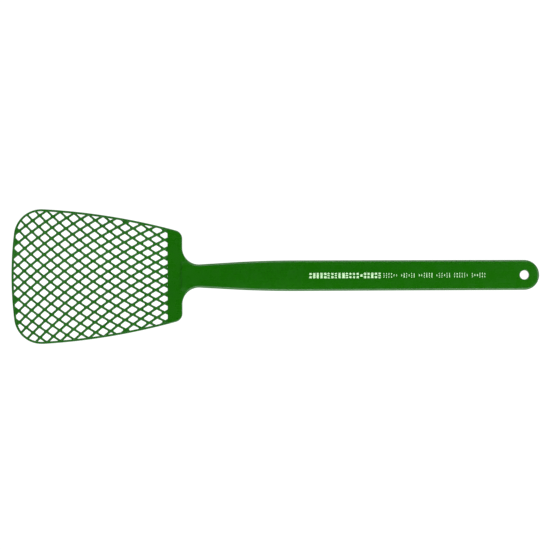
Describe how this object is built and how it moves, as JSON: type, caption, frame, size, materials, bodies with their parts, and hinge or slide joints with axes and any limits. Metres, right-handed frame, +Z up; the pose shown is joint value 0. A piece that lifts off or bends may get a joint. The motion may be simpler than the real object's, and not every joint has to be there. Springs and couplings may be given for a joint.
{
  "type": "fly swatter",
  "caption": "Long flat-handled moulded plastic fly swatter with a wide flexible blade of crossed ribs, a short neck and a hanging hole.",
  "frame": {"origin": "middle of the outline, on the surface that the swatter lies on", "axes": "+X along the swatter towards the end of the handle, with the blade at -X; +Y across it; +Z up, out of the printed front"},
  "size_m": [0.419, 0.1072, 0.004],
  "materials": {
    "green_polypropylene": "satin moulded, self-coloured green",
    "white_pad_print": "thin matt pad-printed ink, on the visual model only"
  },
  "bodies": {
    "handle": {"handle_shaft": "green_polypropylene", "grip_panel": "green_polypropylene", "hanging_end": "green_polypropylene"},
    "shoulder": {"neck": "green_polypropylene", "shoulder_band": "green_polypropylene"},
    "blade": {"rim_tip": "green_polypropylene", "rim_right": "green_polypropylene", "rim_left": "green_polypropylene", "front_rib_01": "green_polypropylene", "back_rib_01": "green_polypropylene", "front_rib_02": "green_polypropylene", "back_rib_02": "green_polypropylene", "front_rib_03": "green_polypropylene", "back_rib_03": "green_polypropylene", "front_rib_04": "green_polypropylene", "back_rib_04": "green_polypropylene", "front_rib_05": "green_polypropylene", "back_rib_05": "green_polypropylene", "front_rib_06": "green_polypropylene", "back_rib_06": "green_polypropylene", "front_rib_07": "green_polypropylene", "back_rib_07": "green_polypropylene", "front_rib_08": "green_polypropylene", "back_rib_08": "green_polypropylene", "front_rib_09": "green_polypropylene", "back_rib_09": "green_polypropylene", "front_rib_10": "green_polypropylene", "back_rib_10": "green_polypropylene", "front_rib_11": "green_polypropylene", "back_rib_11": "green_polypropylene", "front_rib_12": "green_polypropylene", "back_rib_12": "green_polypropylene", "front_rib_13": "green_polypropylene", "back_rib_13": "green_polypropylene", "front_rib_14": "green_polypropylene", "back_rib_14": "green_polypropylene", "front_rib_15": "green_polypropylene", "back_rib_15": "green_polypropylene", "front_rib_16": "green_polypropylene", "back_rib_16": "green_polypropylene", "front_rib_17": "green_polypropylene", "back_rib_17": "green_polypropylene", "front_rib_18": "green_polypropylene", "back_rib_18": "green_polypropylene", "front_rib_19": "green_polypropylene", "back_rib_19": "green_polypropylene", "front_rib_20": "green_polypropylene", "back_rib_20": "green_polypropylene"}
  },
  "joints": [
    {"name": "neck_flex", "type": "hinge", "parent": "handle", "child": "shoulder", "pos_m": [-0.06, 0, 0.002], "axis": [0, 1, 0], "range_deg": [-10, 10], "stiffness_Nm_per_rad": 1.4},
    {"name": "blade_flex", "type": "hinge", "parent": "shoulder", "child": "blade", "pos_m": [-0.0856, 0, 0.002], "axis": [0, 1, 0], "range_deg": [-30, 30], "stiffness_Nm_per_rad": 0.21}
  ]
}
